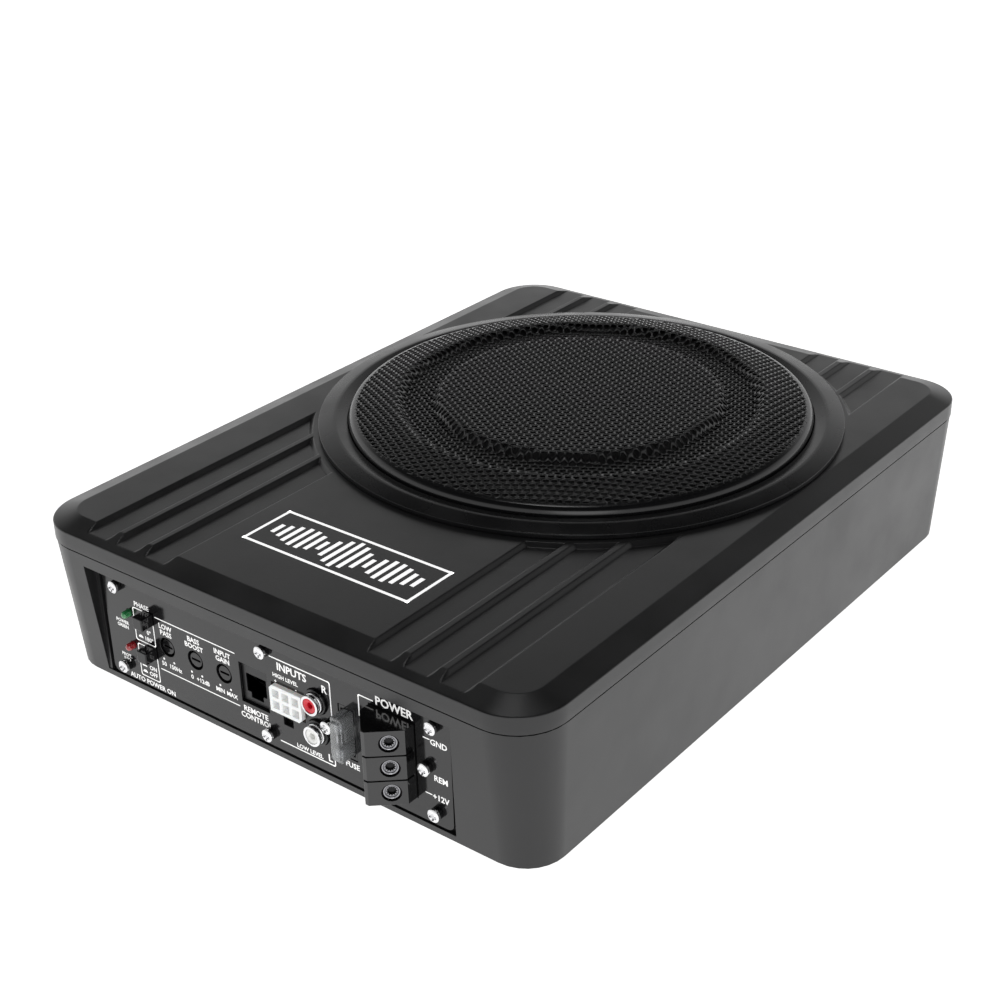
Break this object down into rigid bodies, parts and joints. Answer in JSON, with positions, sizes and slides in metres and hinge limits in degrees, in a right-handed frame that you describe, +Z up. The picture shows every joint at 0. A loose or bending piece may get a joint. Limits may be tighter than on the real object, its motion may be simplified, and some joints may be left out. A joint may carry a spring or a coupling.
{
  "type": "powered car subwoofer",
  "caption": "Slim black under-seat powered subwoofer: ribbed lid with a round domed mesh grille, tapered base and an end panel with controls, sockets, fuse and wire terminals.",
  "frame": {"origin": "on the floor plane (the foot bottoms) under the middle of the overall box", "axes": "+Z up through the grille, -Y out of the control panel, +X to the right when facing the control panel"},
  "size_m": [0.25, 0.335, 0.0822],
  "materials": {
    "case_black": "cast aluminium shell with fine matt black powder coat",
    "foot_rubber": "soft black rubber pad",
    "black_steel": "zinc plated steel screw",
    "panel_black": "matt black painted sheet with white screen print",
    "bright_screw": "bright plated pan head over a black spacer sleeve",
    "green_lens": "green tinted lens",
    "red_lens": "red tinted lens",
    "gloss_black": "glossy black moulded plastic",
    "black_plastic": "satin black moulded plastic",
    "control_metal": "plain metal control body",
    "white_plastic": "white moulded plastic",
    "bright_barrel": "bright plated barrel with a coloured insulator",
    "clear_fuse": "clear plastic body with plated blades",
    "terminal_steel": "plated steel",
    "ring_black": "satin black moulded ring",
    "grille_steel": "perforated steel sheet, gloss black coat",
    "woofer_steel": "pressed steel, black coat",
    "surround_rubber": "black rubber half roll",
    "cone_black": "black moulded fibre cone",
    "copper_wire": "enamelled copper wire",
    "spider_cloth": "treated corrugated cloth",
    "ferrite": "dark ferrite ring",
    "board_green": "green circuit board",
    "heatsink_alu": "plain extruded aluminium",
    "capacitor_sleeve": "dark blue sleeve"
  },
  "bodies": {
    "case": {"base_case": "case_black", "lid": "case_black", "foot_1": "foot_rubber", "foot_2": "foot_rubber", "foot_3": "foot_rubber", "foot_4": "foot_rubber", "case_screw_1": "black_steel", "case_screw_2": "black_steel", "case_screw_3": "black_steel", "case_screw_4": "black_steel", "control_panel": "panel_black", "panel_screw_1": "bright_screw", "panel_screw_2": "bright_screw", "panel_screw_3": "bright_screw", "panel_screw_4": "bright_screw", "panel_screw_5": "bright_screw", "panel_screw_6": "bright_screw", "panel_screw_7": "bright_screw", "rca_screw": "bright_screw", "phase_lamp_green": "green_lens", "power_lamp_red": "red_lens", "phase_switch": "black_plastic", "auto_on_switch": "black_plastic", "low_pass_control": "control_metal", "bass_boost_control": "control_metal", "input_gain_control": "control_metal", "remote_socket": "black_plastic", "high_level_socket": "white_plastic", "rca_block": "black_plastic", "rca_jack_right": "bright_barrel", "rca_jack_left": "bright_barrel", "fuse_holder": "black_plastic", "terminal_block": "gloss_black", "trim_ring": "ring_black", "grille": "grille_steel", "woofer_basket": "woofer_steel", "woofer_surround": "surround_rubber", "woofer_spider": "spider_cloth", "top_plate": "woofer_steel", "magnet": "ferrite", "back_plate": "woofer_steel", "amplifier_board": "board_green", "heatsink": "heatsink_alu", "toroid": "copper_wire", "main_capacitor": "capacitor_sleeve"},
    "phase_button_cap": {"phase_button": "gloss_black"},
    "auto_on_button_cap": {"auto_on_button": "gloss_black"},
    "low_pass_knob": {"low_pass_shaft": "black_plastic"},
    "bass_boost_knob": {"bass_boost_shaft": "black_plastic"},
    "input_gain_knob": {"input_gain_shaft": "black_plastic"},
    "cone_assembly": {"woofer_cone": "cone_black", "dust_cap": "cone_black", "voice_coil": "copper_wire"},
    "fuse_link": {"fuse": "clear_fuse"},
    "clamp_screw_1": {"terminal_screw_1": "terminal_steel"},
    "clamp_cage_1": {"terminal_cage_1": "terminal_steel"},
    "clamp_screw_2": {"terminal_screw_2": "terminal_steel"},
    "clamp_cage_2": {"terminal_cage_2": "terminal_steel"},
    "clamp_screw_3": {"terminal_screw_3": "terminal_steel"},
    "clamp_cage_3": {"terminal_cage_3": "terminal_steel"}
  },
  "joints": [
    {"name": "phase_button_press", "type": "slide", "parent": "case", "child": "phase_button_cap", "axis": [0, 1, 0], "range_m": [0, 0.0025], "stiffness_N_per_m": 400},
    {"name": "auto_on_button_press", "type": "slide", "parent": "case", "child": "auto_on_button_cap", "axis": [0, 1, 0], "range_m": [0, 0.0025], "stiffness_N_per_m": 400},
    {"name": "low_pass_turn", "type": "hinge", "parent": "case", "child": "low_pass_knob", "pos_m": [-0.0584, -0.15326, 0.0284], "axis": [0, 1, 0], "range_deg": [-140, 140]},
    {"name": "bass_boost_turn", "type": "hinge", "parent": "case", "child": "bass_boost_knob", "pos_m": [-0.0426, -0.15326, 0.0284], "axis": [0, 1, 0], "range_deg": [-140, 140]},
    {"name": "input_gain_turn", "type": "hinge", "parent": "case", "child": "input_gain_knob", "pos_m": [-0.0268, -0.15326, 0.0284], "axis": [0, 1, 0], "range_deg": [-140, 140]},
    {"name": "cone_stroke", "type": "slide", "parent": "case", "child": "cone_assembly", "axis": [0, 0, 1], "range_m": [-0.004, 0.004], "stiffness_N_per_m": 4000, "deforming": ["woofer_surround", "woofer_spider"]},
    {"name": "fuse_pull", "type": "slide", "parent": "case", "child": "fuse_link", "axis": [0, -1, 0], "range_m": [0, 0.016]},
    {"name": "clamp_screw_1_turn", "type": "hinge", "parent": "case", "child": "clamp_screw_1", "pos_m": [0.06507, -0.16206, 0.01875], "axis": [-0.6594, 0.7518, 0], "range_deg": [0, 720]},
    {"name": "clamp_cage_1_slide", "type": "slide", "parent": "case", "child": "clamp_cage_1", "axis": [-0.6594, 0.7518, 0], "range_m": [0, 0.00139]},
    {"name": "clamp_screw_2_turn", "type": "hinge", "parent": "case", "child": "clamp_screw_2", "pos_m": [0.06507, -0.16206, 0.02925], "axis": [-0.6594, 0.7518, 0], "range_deg": [0, 720]},
    {"name": "clamp_cage_2_slide", "type": "slide", "parent": "case", "child": "clamp_cage_2", "axis": [-0.6594, 0.7518, 0], "range_m": [0, 0.00139]},
    {"name": "clamp_screw_3_turn", "type": "hinge", "parent": "case", "child": "clamp_screw_3", "pos_m": [0.06507, -0.16206, 0.03975], "axis": [-0.6594, 0.7518, 0], "range_deg": [0, 720]},
    {"name": "clamp_cage_3_slide", "type": "slide", "parent": "case", "child": "clamp_cage_3", "axis": [-0.6594, 0.7518, 0], "range_m": [0, 0.00139]}
  ],
  "couplings": [
    {"joint": "clamp_screw_1_turn", "follows": "clamp_cage_1_slide", "rad_per_m": 8976},
    {"joint": "clamp_screw_2_turn", "follows": "clamp_cage_2_slide", "rad_per_m": 8976},
    {"joint": "clamp_screw_3_turn", "follows": "clamp_cage_3_slide", "rad_per_m": 8976}
  ]
}
